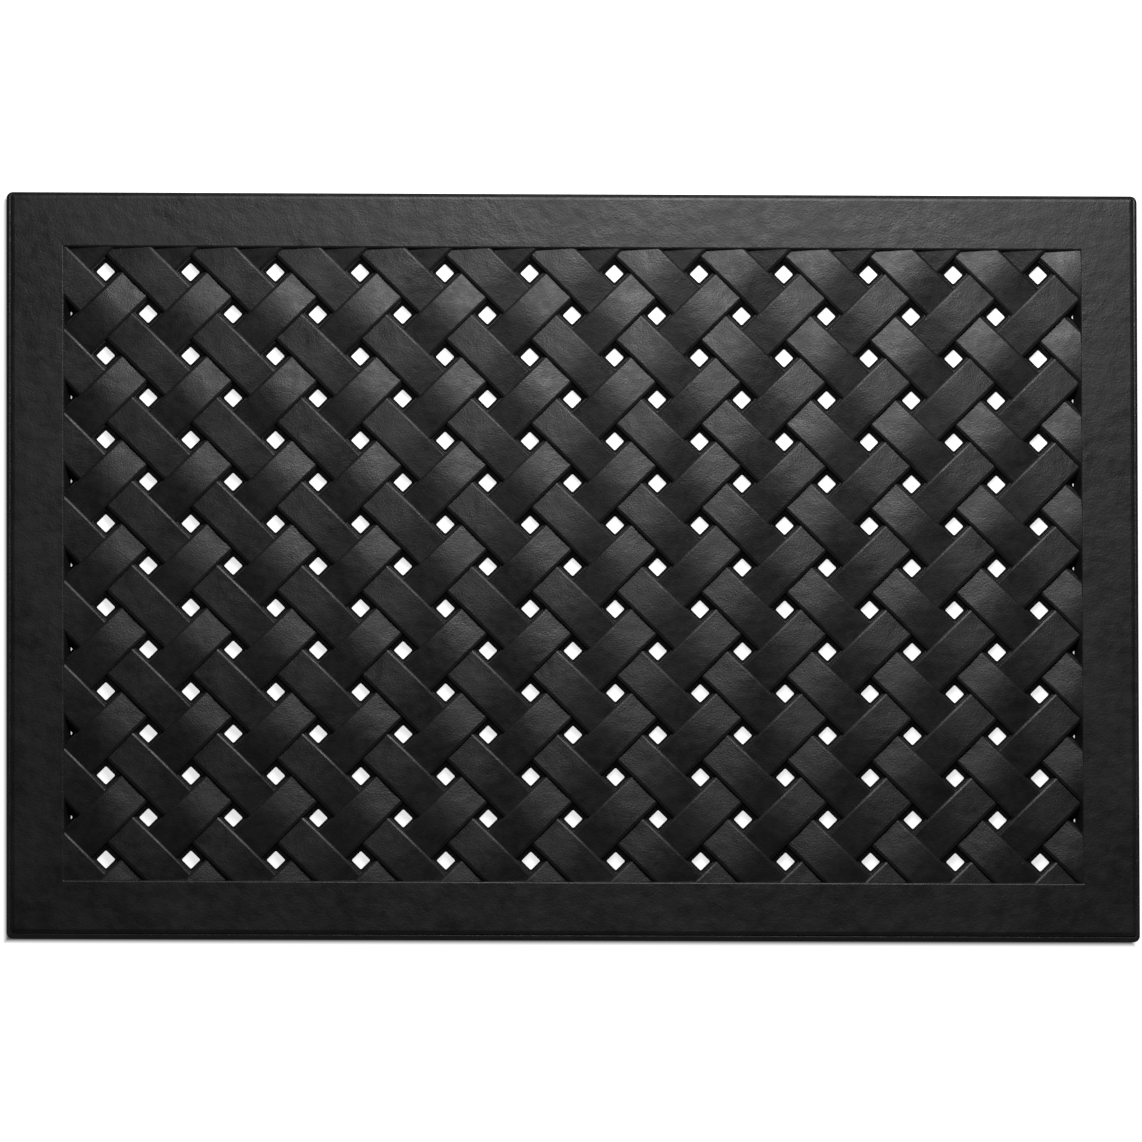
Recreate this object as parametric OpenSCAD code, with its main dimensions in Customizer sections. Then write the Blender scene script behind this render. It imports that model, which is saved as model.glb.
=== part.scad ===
// Door mat of black rubber: a plain basket weave of flat straps, laid on the
// diagonal over a perforated web, inside a one-piece border.
// Millimetres. The origin is the centre of the underside, +X runs along the
// long side and +Z points up, away from the floor.

/* [Overall] */
// Length over the outside of the border
mat_len = 914.4; // [700:0.1:1200]
// Width over the outside of the border
mat_wid = 609.6; // [450:0.1:800]
// Width of the border, from its foot outside to its top edge inside
border_w = 46; // [30:0.5:70]

/* [Weave] */
// Distance between the centre lines of neighbouring straps
strap_pitch = 48.46; // [44:0.01:62]
// Width of one strap
strap_w = 31; // [24:0.1:32]
// Thickness of one strap
strap_t = 2.1; // [1.5:0.1:4]
// Air left between two straps at the corners of a crossing
cross_gap = 0.2; // [0.1:0.05:1]
// How far the crests of the straps lie below the top of the border
crest_drop = 0.4; // [0:0.1:2]

/* [Web] */
// Thickness of the perforated web that the straps lie on
web_t = 5.9; // [2:0.1:8]
// Side of one square drain hole
drain_hole = 10.8; // [8:0.1:16]

/* [Border] */
// Run of the sloping inner wall of the border, from its top to its foot
wall_run = 6; // [2:0.1:8]
// Run of the sloping outer wall of the border, bevel included
outer_run = 4.4; // [2:0.1:8]
// Bevel along the outer top edge
edge_bevel = 1.2; // [0.5:0.1:1.8]
// Height of the upright foot below the sloping outer wall
foot_h = 1.5; // [0.5:0.1:4]
// Radius of the four corners of the foot
corner_r = 5; // [2:0.5:12]

/* [Hidden] */
// Rise of a strap's middle line above and below the middle of the weave. Two
// straps keep cross_gap where the corners of their crossing come closest.
weave_rise = (strap_t + cross_gap) / 2 / cos(90 * strap_w / strap_pitch);
weave_mid = web_t + weave_rise + strap_t / 2;
mat_t = weave_mid + weave_rise + strap_t / 2 + crest_drop;

// The field is the opening of the border at its top; the foot is where the
// sloping wall meets the floor.
field_len = mat_len - 2 * border_w;
field_wid = mat_wid - 2 * border_w;
foot_len = field_len - 2 * wall_run;
foot_wid = field_wid - 2 * wall_run;

// Straps on either side of the middle, enough to reach the field's corners,
// less one that would be a crumb smaller than min_reach.
min_reach = 6;
half_count = floor(((foot_len + foot_wid) / sqrt(8) + strap_w / 2 - min_reach) / strap_pitch + 0.5);
STRAPS = [-half_count : half_count - 1];
DRAINS = [-half_count : half_count];
steps = 6;
slop = 1;

function strap_name(set, i) = str(set, "_strap_", i + half_count + 1);

// Height of a strap's middle line at s along it. The strap crosses others at
// every odd half pitch, and the sign says whether it is on top at the first.
function strap_mid(s, sign) = weave_mid + sign * weave_rise * sin(180 * s / strap_pitch);

// Side view of a strap long enough to reach from corner to corner.
module strap_side(sign) {
    count = steps * (2 * half_count + 1);
    at = [for (k = [0 : count]) (k / steps - half_count - 0.5) * strap_pitch];
    top = [for (s = at) [s, strap_mid(s, sign) + strap_t / 2]];
    low = [for (k = [count : -1 : 0]) [at[k], strap_mid(at[k], sign) - strap_t / 2]];
    polygon(concat(top, low));
}

// A strap that runs along +X, with its middle line at y = 0.
module ribbon(sign) {
    translate([0, strap_w / 2, 0])
        rotate([90, 0, 0])
            linear_extrude(height = strap_w)
                strap_side(sign);
}

// A bar along X whose section is wide at the top and narrow at the bottom.
module tapered_bar(length, top_w, foot_w) {
    rotate([90, 0, 90])
        translate([0, 0, -length / 2])
            linear_extrude(height = length)
                polygon([
                    [-foot_w / 2 + wall_run / mat_t * slop, -slop],
                    [foot_w / 2 - wall_run / mat_t * slop, -slop],
                    [top_w / 2 + wall_run / mat_t * slop, mat_t + slop],
                    [-top_w / 2 - wall_run / mat_t * slop, mat_t + slop]
                ]);
}

// The space inside the border, between its four sloping walls.
module field_space() {
    intersection() {
        tapered_bar(mat_len, field_wid, foot_wid);
        rotate([0, 0, 90])
            tapered_bar(mat_len, field_len, foot_len);
    }
}

// A bar along X whose long sides stand on a low upright foot, slope in above
// it, and end in a bevel along the top edge.
module sloped_bar(length, width) {
    half = width / 2;
    rotate([90, 0, 90])
        translate([0, 0, -length / 2])
            linear_extrude(height = length)
                polygon([
                    [-half, 0],
                    [half, 0],
                    [half, foot_h],
                    [half - outer_run + edge_bevel, mat_t - edge_bevel],
                    [half - outer_run, mat_t],
                    [outer_run - half, mat_t],
                    [outer_run - edge_bevel - half, mat_t - edge_bevel],
                    [-half, foot_h]
                ]);
}

// Upright block with round corners, the outline of the mat's foot.
module round_block() {
    for (size = [[mat_len - 2 * corner_r, mat_wid], [mat_len, mat_wid - 2 * corner_r]])
        translate([-size[0] / 2, -size[1] / 2, -slop])
            cube([size[0], size[1], mat_t + 2 * slop]);
    for (x = [-1, 1], y = [-1, 1])
        translate([x * (mat_len / 2 - corner_r), y * (mat_wid / 2 - corner_r), -slop])
            cylinder(r = corner_r, h = mat_t + 2 * slop, $fn = 48);
}

// The one-piece border: flat on top, with a sloping outer wall all round and
// a sloping inner wall that the straps end on.
module border_frame() {
    color("#2b2b2d")
        difference() {
            intersection() {
                sloped_bar(mat_len, mat_wid);
                rotate([0, 0, 90])
                    sloped_bar(mat_wid, mat_len);
                round_block();
            }
            field_space();
        }
}

// A square drain hole between two straps of each set, turned to follow them.
module drain(i, j) {
    translate([(i + j) * strap_pitch / sqrt(2), (i - j) * strap_pitch / sqrt(2), web_t / 2])
        rotate([0, 0, 45])
            cube([drain_hole, drain_hole, web_t + 2 * slop], center = true);
}

// True where a drain's square shows inside the foot of the border.
function drain_shows(i, j) =
    abs(i + j) * strap_pitch / sqrt(2) < foot_len / 2 + drain_hole / sqrt(2) - slop
    && abs(i - j) * strap_pitch / sqrt(2) < foot_wid / 2 + drain_hole / sqrt(2) - slop;

// The web that fills the foot of the border and carries the straps.
module drain_web() {
    color("#202022")
        difference() {
            intersection() {
                field_space();
                translate([-mat_len / 2, -mat_wid / 2, 0])
                    cube([mat_len, mat_wid, web_t]);
            }
            intersection() {
                union()
                    for (i = DRAINS, j = DRAINS)
                        if (drain_shows(i, j))
                            drain(i, j);
                translate([-foot_len / 2, -foot_wid / 2, -2 * slop])
                    cube([foot_len, foot_wid, web_t + 4 * slop]);
            }
        }
}

// One strap of either set, cut off by the border's sloping walls. It is on
// top of every second strap that it meets, and its neighbours of the same
// set are on top of the others.
module strap(angle, i) {
    intersection() {
        rotate([0, 0, angle])
            translate([0, (i + 0.5) * strap_pitch, 0])
                ribbon(i % 2 == 0 ? -1 : 1);
        field_space();
    }
}

// Straps of this set run up to the right, as seen from above.
module rising_strap(i) {
    color("#2e2e30")
        strap(45, i);
}

// Straps of this set run down to the right.
module falling_strap(i) {
    color("#333336")
        strap(-45, i);
}

border_frame();
drain_web();
for (i = STRAPS) rising_strap(i);
for (i = STRAPS) falling_strap(i);
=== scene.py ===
# %% [markdown]
# # A woven rubber door mat
# The mat has three kinds of piece: a one-piece border, a web with square drain holes at its
# foot, and forty flat straps that pass over and under each other on the diagonal.
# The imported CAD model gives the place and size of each. This script makes a finer mesh for
# each piece, gives the rubber its finish, and sets up a plain studio to look at it in.

import math

import bmesh
import bpy
from mathutils import Matrix, Vector


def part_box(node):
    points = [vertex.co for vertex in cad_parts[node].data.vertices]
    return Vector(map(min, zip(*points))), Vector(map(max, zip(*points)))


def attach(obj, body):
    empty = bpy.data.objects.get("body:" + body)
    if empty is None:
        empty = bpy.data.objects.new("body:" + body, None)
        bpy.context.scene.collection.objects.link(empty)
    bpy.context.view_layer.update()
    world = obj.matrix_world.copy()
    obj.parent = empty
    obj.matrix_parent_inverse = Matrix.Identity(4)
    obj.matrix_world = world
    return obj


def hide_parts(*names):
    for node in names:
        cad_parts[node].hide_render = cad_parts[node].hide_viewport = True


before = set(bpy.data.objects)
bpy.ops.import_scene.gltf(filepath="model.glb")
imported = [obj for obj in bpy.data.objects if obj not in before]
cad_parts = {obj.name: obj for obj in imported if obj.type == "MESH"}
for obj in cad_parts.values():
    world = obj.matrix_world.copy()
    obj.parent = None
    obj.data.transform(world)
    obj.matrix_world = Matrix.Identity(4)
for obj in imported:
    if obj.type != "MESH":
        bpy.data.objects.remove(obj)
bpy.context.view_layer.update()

# %% [markdown]
# ## Sizes
# Outside sizes come from the CAD nodes' boxes, so they can't drift from the model. The weave's
# own sizes, which no box gives, are named here once, in metres.

# %% Sizes of the mat
MM = 0.001
border_low, border_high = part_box("border_frame")
mat_len = border_high.x - border_low.x
mat_wid = border_high.y - border_low.y
mat_t = border_high.z
web_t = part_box("drain_web")[1].z

border_w = 46 * MM
wall_run = 6.0 * MM
outer_run = 4.4 * MM
strap_pitch = 48.46 * MM
strap_w = 31.0 * MM
strap_t = 2.1 * MM
crest_drop = 0.4 * MM
drain_foot = 10.6 * MM
drain_mouth = 15.4 * MM

field_len = mat_len - 2 * border_w
field_wid = mat_wid - 2 * border_w
weave_mid = (web_t + mat_t - crest_drop) / 2
weave_rise = (mat_t - crest_drop - web_t - strap_t) / 2
strap_names = [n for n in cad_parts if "strap" in n]
half_count = len(strap_names) // 4
print("mat, mm:", [round(v / MM, 2) for v in (mat_len, mat_wid, mat_t)])
print("weave rise, mm:", round(weave_rise / MM, 3), "straps in each set:", 2 * half_count)

# %% [markdown]
# ## Camera
# The mat is seen from almost straight above, from a little to its front and its left, so that
# the front wall shows as a narrow dark band. A very long lens far away keeps the weave's
# squares square: with a short lens the far edge would look shorter than the near one.

# %% Camera
view_tilt = math.radians(9)
view_turn = math.radians(14)
view_roll = math.radians(0.13)
view_distance = 30.0
view_width = 0.9216
aim = Vector((-0.0018, -0.0052, mat_t))

camera_data = bpy.data.cameras.new("camera")
camera_data.sensor_width = 36.0
camera_data.lens = camera_data.sensor_width * view_distance / view_width
camera_data.clip_start = 1.0
camera_data.clip_end = 100.0
camera = bpy.data.objects.new("camera", camera_data)
sideways = math.sin(view_tilt)
toward_camera = Vector(
    (-sideways * math.sin(view_turn), -sideways * math.cos(view_turn), math.cos(view_tilt))
)
camera_up = (Vector((0, 1, 0)) - toward_camera * toward_camera.y).normalized()
upright = Matrix((camera_up.cross(toward_camera), camera_up, toward_camera)).transposed()
camera.location = aim + toward_camera * view_distance
camera.rotation_euler = (upright @ Matrix.Rotation(-view_roll, 3, "Z")).to_euler()
bpy.context.scene.collection.objects.link(camera)
bpy.context.scene.camera = camera
print("lens, mm:", round(camera_data.lens, 1))

# %% [markdown]
# ## Shader maths as Python
# A node tree for a material is easier to read as expressions. `Wire` wraps a socket so that
# `1 - mask * 2` adds the Math nodes by itself, and `Tree.node` adds any other kind of node.

# %% A small language for node trees
class Wire:
    """One output socket, with arithmetic that adds Math nodes."""

    def __init__(self, tree, socket):
        self.tree = tree
        self.socket = socket

    def math(self, operation, *others):
        values = {k: v for k, v in enumerate((self,) + others)}
        return self.tree.node(self.tree.math_type, {"operation": operation}, values)

    def __add__(self, other):
        return self.math("ADD", other)

    __radd__ = __add__

    def __mul__(self, other):
        return self.math("MULTIPLY", other)

    __rmul__ = __mul__

    def __sub__(self, other):
        return self.math("SUBTRACT", other)

    def __rsub__(self, other):
        return (self * -1) + other

    def __truediv__(self, other):
        return self.math("DIVIDE", other)


class Tree:
    """A node tree that is being written."""

    math_type = "ShaderNodeMath"

    def __init__(self, tree):
        self.tree = tree

    def node(self, kind, settings=None, inputs=None, output=0):
        made = self.tree.nodes.new(kind)
        for name, value in (settings or {}).items():
            setattr(made, name, value)
        for key, value in (inputs or {}).items():
            self.plug(made.inputs[key], value)
        return Wire(self, made.outputs[output])

    def plug(self, socket, value):
        if isinstance(value, Wire):
            self.tree.links.new(value.socket, socket)
        else:
            socket.default_value = value


# %% [markdown]
# ## Black rubber
# Moulded rubber is nearly black, but it is not flat: it has a soft sheen that varies in broad
# cloudy patches where the mould was polished unevenly, a very fine grain, a surface that swells
# slightly from place to place, and a few pale specks of dust. All of it is procedural and reads
# Object coordinates, which are metres here, so each size can be given as on the real mat.

# %% Rubber finish
GRAIN_DEPTH = 0.18 * MM
DIMPLE_DEPTH = 0.08 * MM
SWELL_DEPTH = 0.45 * MM
SWELL_SIZE = 14 * MM
DUST_SPACING = 24 * MM
DUST_RADIUS = 0.55 * MM
DUST_SHARE = 0.3
DUST_COLOUR = (0.16, 0.155, 0.15, 1)


def noise(tree, place, size, detail=3.0, roughness=0.55):
    """Noise between about 0.3 and 0.7 whose blots are about `size` metres across."""
    settings = {"Vector": place, "Scale": 1 / size, "Detail": detail, "Roughness": roughness}
    return tree.node("ShaderNodeTexNoise", inputs=settings)


def ramp(tree, value, low, high):
    """0 below low, 1 above high, straight between."""
    settings = {"Value": value, "From Min": low, "From Max": high, "To Min": 0.0, "To Max": 1.0}
    return tree.node("ShaderNodeMapRange", {"clamp": True}, settings)


def dust_specks(tree, place, spacing, radius, keep):
    """1 on a few small round specks, scattered one to a cell and kept in a few cells."""
    settings = {"Vector": place, "Scale": 1 / spacing}
    distance = tree.node("ShaderNodeTexVoronoi", {"feature": "F1"}, settings, output="Distance")
    cell = tree.node("ShaderNodeTexVoronoi", {"feature": "F1"}, settings, output="Color")
    pick = tree.node("ShaderNodeSeparateColor", inputs={"Color": cell})
    near = 1 - ramp(tree, distance, 0.6 * radius / spacing, radius / spacing)
    return near * pick.math("LESS_THAN", keep)


def rubber(name, dark, pale, rough, rough_swing, grain, cloud, sheen):
    """Black rubber whose colour, roughness and fine relief all vary from place to place."""
    material = bpy.data.materials.new(name)
    material.use_nodes = True
    tree = Tree(material.node_tree)
    shader = material.node_tree.nodes["Principled BSDF"]
    place = tree.node("ShaderNodeTexCoord", output="Object")
    patch = ramp(tree, noise(tree, place, cloud, 4.0), 0.35, 0.65)
    blot = ramp(tree, noise(tree, place, cloud / 5, 3.0), 0.35, 0.65)
    fine = noise(tree, place, grain, 2.0, 0.6)
    mix = patch * 0.4 + blot * 0.35 + fine * 0.25
    dust = dust_specks(tree, place, DUST_SPACING, DUST_RADIUS, DUST_SHARE)
    colour = tree.node(
        "ShaderNodeMix",
        {"data_type": "RGBA"},
        {"Factor": mix, "A": (dark, dark, dark * 1.03, 1), "B": (pale, pale, pale * 1.03, 1)},
        output=2,
    )
    colour = tree.node(
        "ShaderNodeMix",
        {"data_type": "RGBA"},
        {"Factor": dust * 0.6, "A": colour, "B": DUST_COLOUR},
        output=2,
    )
    tree.plug(shader.inputs["Base Color"], colour)
    tree.plug(shader.inputs["Roughness"], (mix - 0.5) * rough_swing + rough + dust * 0.2)
    dimples = noise(tree, place, 3 * grain, 2.0, 0.5)
    swell = noise(tree, place, SWELL_SIZE, 1.0, 0.5)
    relief = fine * GRAIN_DEPTH + dimples * DIMPLE_DEPTH + swell * SWELL_DEPTH
    bump = tree.node("ShaderNodeBump", inputs={"Strength": 1.0, "Distance": 1.0, "Height": relief})
    tree.plug(shader.inputs["Normal"], bump)
    shader.inputs["Specular IOR Level"].default_value = sheen
    return material


strap_rubber = rubber("strap_finish", 0.005, 0.012, 0.435, 0.20, 1.5 * MM, 34 * MM, 0.5)
border_rubber = rubber("border_finish", 0.005, 0.012, 0.445, 0.22, 1.5 * MM, 60 * MM, 0.5)
web_rubber = rubber("web_finish", 0.005, 0.010, 0.50, 0.1, 0.8 * MM, 30 * MM, 0.5)
print("materials:", [m.name for m in (strap_rubber, border_rubber, web_rubber)])

# %% [markdown]
# ## Finishing helpers
# Every piece rides on the one body, replaces its CAD node, and is shaded smooth except across
# real edges. Weighted normals keep the wide flat faces flat right up to their rounded edges.

# %% Helpers that finish a piece
edge_angle = math.radians(40)


def mesh_object(name, mesh):
    made = bpy.data.objects.new(name, mesh)
    bpy.context.scene.collection.objects.link(made)
    return made


def finish_piece(piece, node):
    piece.data.polygons.foreach_set("use_smooth", [True] * len(piece.data.polygons))
    piece.data.set_sharp_from_angle(angle=edge_angle)
    weighted = piece.modifiers.new("weighted_normals", "WEIGHTED_NORMAL")
    weighted.mode = "FACE_AREA"
    weighted.keep_sharp = True
    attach(piece, "root")
    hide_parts(node)


# %% [markdown]
# ## The border's inner wall as cutting planes
# The straps and the web end on the border's sloping inner wall. Each mesh is cut by the four
# planes of that wall, moved a little way into the border so that no gap can show.

# %% Cut a mesh to the field
bury = 1.2 * MM


def field_planes():
    """Point and outward direction of each of the four sloping walls, moved by bury."""
    planes = []
    for side in (-1, 1):
        for axis, half in (("x", field_len / 2), ("y", field_wid / 2)):
            foot = (half - wall_run) * side
            slope = Vector((mat_t, 0, -wall_run)) if axis == "x" else Vector((0, mat_t, -wall_run))
            outward = slope.normalized()
            if side < 0:
                outward = Vector((-outward.x, -outward.y, outward.z))
            point = Vector((foot, 0, 0)) if axis == "x" else Vector((0, foot, 0))
            planes.append((point + outward * bury, outward))
    return planes


def cut_to_field(mesh):
    """Removes what lies past the four walls and closes the cuts."""
    work = bmesh.new()
    work.from_mesh(mesh)
    for point, outward in field_planes():
        everything = work.verts[:] + work.edges[:] + work.faces[:]
        cut = bmesh.ops.bisect_plane(
            work, geom=everything, dist=1e-7, plane_co=point, plane_no=outward, clear_outer=True
        )
        edges = [e for e in cut["geom_cut"] if isinstance(e, bmesh.types.BMEdge)]
        open_edges = [e for e in edges if e.is_valid and e.is_boundary]
        if open_edges:
            bmesh.ops.holes_fill(work, edges=open_edges, sides=0)
    bmesh.ops.recalc_face_normals(work, faces=work.faces[:])
    work.to_mesh(mesh)
    work.free()


# %% [markdown]
# ## Geometry Nodes, written in Python
# The straps all follow one rule: a flat section swept along a wave. That is one node tree with
# named inputs, used forty times with different values. `GeoTree` adds group inputs by name.

# %% Geometry node trees
class GeoTree(Tree):
    def __init__(self, name):
        super().__init__(bpy.data.node_groups.new(name, "GeometryNodeTree"))
        self.tree.interface.new_socket("Geometry", in_out="OUTPUT", socket_type="NodeSocketGeometry")
        self.entry = self.tree.nodes.new("NodeGroupInput")
        self.exit = self.tree.nodes.new("NodeGroupOutput")

    def input(self, name, kind="NodeSocketFloat"):
        self.tree.interface.new_socket(name, in_out="INPUT", socket_type=kind)
        return Wire(self, self.entry.outputs[name])

    def close(self, geometry, material):
        solid = self.node("GeometryNodeRealizeInstances", inputs={"Geometry": geometry})
        done = self.node("GeometryNodeSetMaterial", inputs={"Geometry": solid, "Material": material})
        self.tree.links.new(done.socket, self.exit.inputs["Geometry"])


def grown_mesh(tree, name, values):
    """Runs a node tree with the given input values and returns its result as a plain mesh."""
    base = mesh_object(name + "_seed", bpy.data.meshes.new(name + "_seed"))
    modifier = base.modifiers.new("grow", "NODES")
    modifier.node_group = tree.tree
    for item in tree.tree.interface.items_tree:
        if item.in_out == "INPUT" and item.name in values:
            modifier[item.identifier] = values[item.name]
    bpy.context.view_layer.update()
    grown = bpy.data.meshes.new_from_object(base.evaluated_get(bpy.context.evaluated_depsgraph_get()))
    grown.name = name
    bpy.data.objects.remove(base)
    return grown


# %% [markdown]
# ## The straps
# On the real mat each strap is a flat ribbon of rubber with rounded long edges. It climbs over
# one strap of the other set and dips under the next. A sine wave does this smoothly: two ribbons
# of opposite phase keep clear of each other at every crossing. The section is a thin bar whose
# long top edges slope off before they round over, so that each edge facing the light shows as a
# thin bright line. Curve to Mesh sweeps it along the wave.

# %% The strap's section
def section_curve(name, points):
    """A closed flat curve. Curve to Mesh turns it over, so it is drawn upside down."""
    data = bpy.data.curves.new(name, "CURVE")
    data.dimensions = "2D"
    spline = data.splines.new("POLY")
    spline.points.add(len(points) - 1)
    for point, (across, up) in zip(spline.points, points):
        point.co = (across, up, 0, 1)
    spline.use_cyclic_u = True
    made = bpy.data.objects.new(name, data)
    bpy.context.scene.collection.objects.link(made)
    return made


half_w, half_t = strap_w / 2, strap_t / 2
# Each point: millimetres in from the strap's side, and height as a share of half its thickness.
edge_profile = [
    (0.70, -1.00),
    (0.25, -0.92),
    (0.00, -0.60),
    (0.00, -0.30),
    (0.14, -0.02),
    (0.45, 0.26),
    (0.80, 0.46),
    (1.80, 0.90),
    (2.20, 0.98),
    (2.70, 1.00),
]
right = [(half_w - inward * MM, up * half_t) for inward, up in edge_profile]
left = [(-across, up) for across, up in reversed(right)]
upside_down = [(across, -up) for across, up in right + left]
strap_section = section_curve("strap_section", upside_down)
print("points in the strap's section:", len(right + left))


# %% The strap's node tree
def strap_tree():
    tree = GeoTree("woven_strap")
    reach = tree.input("Reach")
    pitch = tree.input("Pitch")
    rise = tree.input("Rise")
    middle = tree.input("Middle height")
    steps = tree.input("Steps", "NodeSocketInt")
    sideways = tree.input("Sideways")
    turn = tree.input("Turn")

    start = tree.node("ShaderNodeCombineXYZ", inputs={"X": reach * -1})
    end = tree.node("ShaderNodeCombineXYZ", inputs={"X": reach})
    line = tree.node("GeometryNodeCurvePrimitiveLine", inputs={"Start": start, "End": end})
    path = tree.node("GeometryNodeResampleCurve", inputs={"Curve": line, "Count": steps})
    along = tree.node("ShaderNodeSeparateXYZ", inputs={0: tree.node("GeometryNodeInputPosition")})
    wave = (along / pitch * math.pi).math("SINE") * rise + middle
    path = tree.node(
        "GeometryNodeSetPosition",
        inputs={"Geometry": path, "Offset": tree.node("ShaderNodeCombineXYZ", inputs={"Z": wave})},
    )
    path = tree.node("GeometryNodeSetCurveNormal", {"mode": "Z_UP"}, {"Curve": path})
    section = tree.node(
        "GeometryNodeObjectInfo", inputs={"Object": strap_section}, output="Geometry"
    )
    ribbon = tree.node(
        "GeometryNodeCurveToMesh",
        inputs={"Curve": path, "Profile Curve": section, "Fill Caps": True},
    )
    shift = tree.node("ShaderNodeCombineXYZ", inputs={"Y": sideways})
    ribbon = tree.node("GeometryNodeTransform", inputs={"Geometry": ribbon, "Translation": shift})
    spin = tree.node("ShaderNodeCombineXYZ", inputs={"Z": turn})
    ribbon = tree.node("GeometryNodeTransform", inputs={"Geometry": ribbon, "Rotation": spin})
    tree.close(ribbon, strap_rubber)
    return tree


woven_strap = strap_tree()
print("strap tree nodes:", len(woven_strap.tree.nodes))

# %% Make the forty straps
points_per_pitch = 16


def make_strap(name, turn, number):
    """One strap; its number counts from the corner of the field, as in the CAD model."""
    i = number - 1 - half_count
    reach = (half_count + 0.5) * strap_pitch
    sign = -1 if i % 2 == 0 else 1
    mesh = grown_mesh(
        woven_strap,
        name,
        {
            "Reach": reach,
            "Pitch": strap_pitch,
            "Rise": weave_rise * sign,
            "Middle height": weave_mid,
            "Steps": (2 * half_count + 1) * points_per_pitch + 1,
            "Sideways": (i + 0.5) * strap_pitch,
            "Turn": turn,
        },
    )
    cut_to_field(mesh)
    return mesh_object(name + "_rubber", mesh)


for node in sorted(strap_names):
    turn = math.pi / 4 if node.startswith("rising") else -math.pi / 4
    strap = make_strap(node, turn, int(node.rsplit("_", 1)[1]))
    finish_piece(strap, node)
bpy.data.objects.remove(strap_section)

# %% [markdown]
# ## The border
# The border is one moulded ring. Its outer wall stands on a low upright foot and slopes in. Near
# the top it has a narrow ledge where the two halves of the mould met, and a shallow bevel leads
# on to the flat top. The section is drawn once, as distance in from the outside and height, and
# each point of it becomes a rounded rectangle. Stitching neighbouring rectangles gives the whole
# ring with true mitres and no seam.

# %% Section of the border
def arc(centre, radius, start, end, steps):
    """Points on an arc in the section's own plane, angles in degrees."""
    angles = [math.radians(start + (end - start) * k / steps) for k in range(steps + 1)]
    return [(centre[0] + radius * math.cos(a), centre[1] + radius * math.sin(a)) for a in angles]


inner_round = 1.8 * MM
foot_round = 0.6 * MM
inner_tilt = math.degrees(math.atan2(wall_run, mat_t))

# Each point: millimetres in from the outside, and height on a mat of the usual thickness.
usual_thickness = 12.69
outer_profile = [
    (0.00, 1.50),  # top of the upright foot
    (2.75, 10.10),  # sloping wall
    (2.45, 10.45),  # underside of the parting ledge
    (1.95, 10.70),  # its lip
    (1.95, 10.95),  # its lip
    (2.15, 11.08),  # top of the ledge, which leans inwards
    (3.35, 10.90),  # root of the ledge
    (3.45, 11.45),  # upright band
    (3.60, 11.85),  # start of the edge
    (3.95, 12.08),  # turn into the bevel
    (4.35, 12.32),  # bevel
    (5.05, 12.48),  # bevel
    (5.85, 12.61),  # bevel
    (6.25, 12.66),  # bevel
    (6.65, 12.69),  # flat top
]
lift = mat_t / (usual_thickness * MM)
outer_wall = [(inset * MM, height * lift * MM) for inset, height in outer_profile]

border_section = (
    arc((foot_round, foot_round), foot_round, 270, 180, 3)
    + outer_wall
    + arc((border_w - inner_round * 0.75, mat_t - inner_round), inner_round, 90, inner_tilt, 6)
    + [(border_w + wall_run, 0)]
)
print("points in the border's section:", len(border_section))


# %% Stitch the border
def rounded_ring(inset, height, radius, arc_steps):
    """Corner arcs of a rectangle inset from the mat's outline."""
    ring = []
    for quarter, (sx, sy) in enumerate(((1, 1), (-1, 1), (-1, -1), (1, -1))):
        cx = sx * (mat_len / 2 - inset - radius)
        cy = sy * (mat_wid / 2 - inset - radius)
        for k in range(arc_steps + 1):
            a = math.pi / 2 * (quarter + k / arc_steps)
            ring.append(Vector((cx + radius * math.cos(a), cy + radius * math.sin(a), height)))
    return ring


def make_border():
    corner_top = 1.2 * MM
    corner_foot = 5.2 * MM
    corner_inner = 0.8 * MM
    arc_steps = 8
    work = bmesh.new()
    rings = []
    for inset, height in border_section:
        if inset > border_w / 2:
            radius = corner_inner
        else:
            share = min(inset / outer_run, 1)
            radius = corner_foot + (corner_top - corner_foot) * share
        rings.append([work.verts.new(p) for p in rounded_ring(inset, height, radius, arc_steps)])
    count = len(rings[0])
    for low, high in zip(rings, rings[1:] + rings[:1]):
        for k in range(count):
            n = (k + 1) % count
            work.faces.new((low[k], low[n], high[n], high[k]))
    bmesh.ops.remove_doubles(work, verts=work.verts[:], dist=1e-7)
    bmesh.ops.recalc_face_normals(work, faces=work.faces[:])
    mesh = bpy.data.meshes.new("border")
    work.to_mesh(mesh)
    work.free()
    mesh.materials.append(border_rubber)
    return mesh_object("border", mesh)


border = make_border()
finish_piece(border, "border_frame")
print("faces in the border:", len(border.data.polygons))

# %% [markdown]
# ## The web
# The web is one cell repeated: a square tile, turned to follow the straps, with a drain hole
# that narrows towards the floor. The cell is a stack of rounded squares stitched together, and
# a node tree sets one on each point of a grid, turned by 45 degrees.

# %% One cell of the web
def square_loop(half, radius, height, arc_steps):
    """A rounded square as corner arcs."""
    loop = []
    for quarter, (sx, sy) in enumerate(((1, 1), (-1, 1), (-1, -1), (1, -1))):
        for k in range(arc_steps + 1):
            a = math.pi / 2 * (quarter + k / arc_steps)
            x = sx * (half - radius) + radius * math.cos(a)
            y = sy * (half - radius) + radius * math.sin(a)
            loop.append(Vector((x, y, height)))
    return loop


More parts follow.
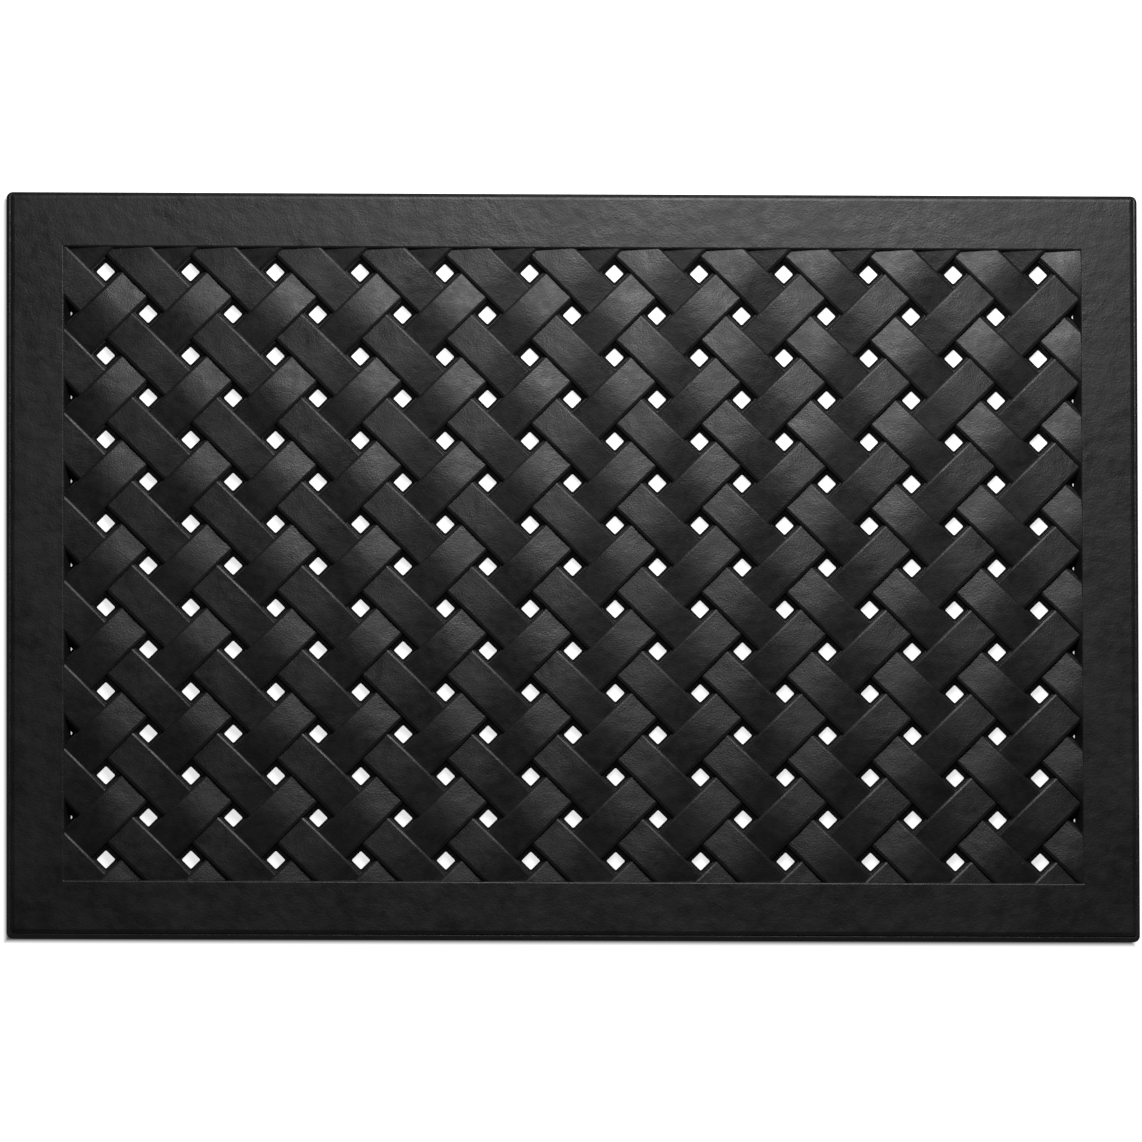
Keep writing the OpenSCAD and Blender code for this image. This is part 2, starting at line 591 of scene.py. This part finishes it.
def make_web_cell():
    lip = 0.5 * MM
    mouth, foot = drain_mouth / 2, drain_foot / 2
    stack = [
        (strap_pitch / 2, 0, 0),
        (foot + lip, 1.0 * MM, 0),
        (foot, 1.0 * MM, lip),
        (mouth, 1.6 * MM, web_t - lip),
        (mouth + 0.3 * lip, 1.6 * MM, web_t - 0.3 * lip),
        (mouth + lip, 1.6 * MM, web_t),
        (strap_pitch / 2, 0, web_t),
    ]
    work = bmesh.new()
    loops = [[work.verts.new(p) for p in square_loop(h, r, z, 4)] for h, r, z in stack]
    count = len(loops[0])
    for low, high in zip(loops, loops[1:]):
        for k in range(count):
            n = (k + 1) % count
            work.faces.new((low[k], high[k], high[n], low[n]))
    bmesh.ops.remove_doubles(work, verts=work.verts[:], dist=1e-7)
    mesh = bpy.data.meshes.new("web_cell")
    work.to_mesh(mesh)
    work.free()
    return mesh_object("web_cell", mesh)


web_cell = make_web_cell()
print("faces in one cell of the web:", len(web_cell.data.polygons))


# %% Repeat the cell and cut the web to the field
def web_tree():
    tree = GeoTree("web_of_cells")
    pitch = tree.input("Pitch")
    rows = tree.input("Rows", "NodeSocketInt")
    reach_x = tree.input("Reach x")
    reach_y = tree.input("Reach y")
    side = (rows - 1) * pitch
    grid = tree.node(
        "GeometryNodeMeshGrid",
        inputs={"Size X": side, "Size Y": side, "Vertices X": rows, "Vertices Y": rows},
    )
    turned = tree.node(
        "GeometryNodeTransform", inputs={"Geometry": grid, "Rotation": (0, 0, math.pi / 4)}
    )
    where = tree.node("GeometryNodeInputPosition")
    x = tree.node("ShaderNodeSeparateXYZ", inputs={0: where}, output=0)
    y = tree.node("ShaderNodeSeparateXYZ", inputs={0: where}, output=1)
    near_x = (reach_x - x.math("ABSOLUTE")).math("GREATER_THAN", 0)
    near_y = (reach_y - y.math("ABSOLUTE")).math("GREATER_THAN", 0)
    cell = tree.node(
        "GeometryNodeObjectInfo",
        {"transform_space": "ORIGINAL"},
        {"Object": web_cell},
        output="Geometry",
    )
    copies = tree.node(
        "GeometryNodeInstanceOnPoints",
        inputs={
            "Points": turned,
            "Selection": near_x * near_y,
            "Instance": cell,
            "Rotation": (0, 0, math.pi / 4),
        },
    )
    solid = tree.node("GeometryNodeRealizeInstances", inputs={"Geometry": copies})
    merged = tree.node("GeometryNodeMergeByDistance", inputs={"Geometry": solid, "Distance": 0.01 * MM})
    tree.close(merged, web_rubber)
    return tree


diagonal = strap_pitch / math.sqrt(2)
web_mesh = grown_mesh(
    web_tree(),
    "web",
    {
        "Pitch": strap_pitch,
        "Rows": 2 * half_count + 3,
        "Reach x": field_len / 2 + diagonal,
        "Reach y": field_wid / 2 + diagonal,
    },
)
cut_to_field(web_mesh)
bpy.data.objects.remove(web_cell)
web = mesh_object("web", web_mesh)
finish_piece(web, "drain_web")
print("faces in the web:", len(web.data.polygons))

# %% [markdown]
# ## Studio
# The mat lies on a plain white floor. One soft square light stands behind it, high and a little
# to the right, so the rubber shines most along the back and each strap is brighter on the end
# that faces the light.
# White paper lit this strongly would also light the walls of every hole from below and turn the
# black rubber grey. So the floor glows by itself, is left out of reflections, and is a little
# dimmer under the weave, drawn by place so that the light's own shadows show in the holes. A thin
# dark seam along the front and left edges is painted shade, standing for the shade where the mat
# touches it. The floor can be seen through from below, so that the underside can be looked at.

# %% Floor, light and sky
half_floor = 4.0
floor_height = -0.2 * MM
floor_mesh = bpy.data.meshes.new("floor")
signs = ((-1, -1), (1, -1), (1, 1), (-1, 1))
corners = [(x * half_floor, y * half_floor, floor_height) for x, y in signs]
floor_mesh.from_pydata(corners, [], [(0, 1, 2, 3)])
floor = mesh_object("floor", floor_mesh)
floor.visible_glossy = False


# edge_glow is the glow left in the painted shade at the mat's edge; hole_glow is the dimmer, painted
# glow under the weave.
edge_glow, far_glow, hole_glow = 0.04, 0.94, 0.70
# Painted shade: the floor's glow dips along the mat's front and left edges, measured from an outline
# moved this far to the front left.
painted_shade_x, painted_shade_y = 3 * MM, 4 * MM
painted_shade_from, painted_shade_to = -4 * MM, -0.2 * MM
under_weave = -20 * MM


def floor_glow_painted_shade():
    """White paper that glows, with a painted shade close to the mat's front and left and a dimmer glow
    under the weave.

    The glow follows the distance from the mat's outline, moved to the front left.
    """
    material = bpy.data.materials.new("floor_glow_painted_shade")
    material.use_nodes = True
    tree = Tree(material.node_tree)
    shader = material.node_tree.nodes["Principled BSDF"]
    place = tree.node("ShaderNodeTexCoord", output="Object")
    x = tree.node("ShaderNodeSeparateXYZ", inputs={0: place}, output=0) + painted_shade_x
    y = tree.node("ShaderNodeSeparateXYZ", inputs={0: place}, output=1) + painted_shade_y
    from_side = x.math("ABSOLUTE") - mat_len / 2
    beyond = from_side.math("MAXIMUM", y.math("ABSOLUTE") - mat_wid / 2)
    # Painted shade: the glow falls to edge_glow close to the mat's front and left edges.
    outside = ramp(tree, beyond, painted_shade_from, painted_shade_to)
    # The floor glows less under the weave, drawn by place, so that the light's own shadows show in the
    # holes.
    inside = beyond.math("LESS_THAN", under_weave)
    share = outside * far_glow + inside * hole_glow + edge_glow
    glow = tree.node("ShaderNodeCombineColor", inputs={"Red": share, "Green": share, "Blue": share})
    tree.plug(shader.inputs["Emission Color"], glow)
    shader.inputs["Emission Strength"].default_value = 1.0
    shader.inputs["Base Color"].default_value = (0.8, 0.8, 0.8, 1)
    shader.inputs["Roughness"].default_value = 1.0
    shader.inputs["Specular IOR Level"].default_value = 0.0
    from_below = tree.node("ShaderNodeNewGeometry", output="Backfacing")
    tree.plug(shader.inputs["Alpha"], 1 - from_below)
    return material


floor_mesh.materials.append(floor_glow_painted_shade())


def area_light(name, place, target, size, power):
    data = bpy.data.lights.new(name, "AREA")
    data.shape = "RECTANGLE"
    data.size, data.size_y = size
    data.energy = power
    light = bpy.data.objects.new(name, data)
    light.location = place
    light.rotation_euler = (Vector(target) - Vector(place)).to_track_quat("-Z", "Y").to_euler()
    bpy.context.scene.collection.objects.link(light)
    return light


key_place = (0.17, 0.76, 0.95)
key_aim = (0.05, 0.0, 0.0)
key_size = (0.4, 0.4)
key_power = 10.5
area_light("key_light", key_place, key_aim, key_size, key_power)


def studio_sky(zenith, horizon):
    """Dark overhead and below, and brighter in a band above the horizon, as white walls are.

    Where the camera itself looks past the floor it sees plain white.
    """
    world = bpy.data.worlds.new("sky")
    world.use_nodes = True
    tree = Tree(world.node_tree)
    direction = tree.node("ShaderNodeTexCoord", output="Generated")
    up = tree.node("ShaderNodeSeparateXYZ", inputs={0: direction}, output=2)
    band = ramp(tree, up, -0.05, 0.03) * (1 - ramp(tree, up, 0.08, 0.65))
    seen = tree.node("ShaderNodeLightPath", output="Is Camera Ray")
    level = (band * (horizon - zenith) + zenith).math("MAXIMUM", seen)
    sky = world.node_tree.nodes["Background"]
    grey = tree.node("ShaderNodeCombineColor", inputs={"Red": level, "Green": level, "Blue": level})
    tree.plug(sky.inputs["Color"], grey)
    sky.inputs["Strength"].default_value = 1.0
    return world


bpy.context.scene.world = studio_sky(0.045, 0.32)
bpy.context.scene.view_settings.view_transform = "Standard"
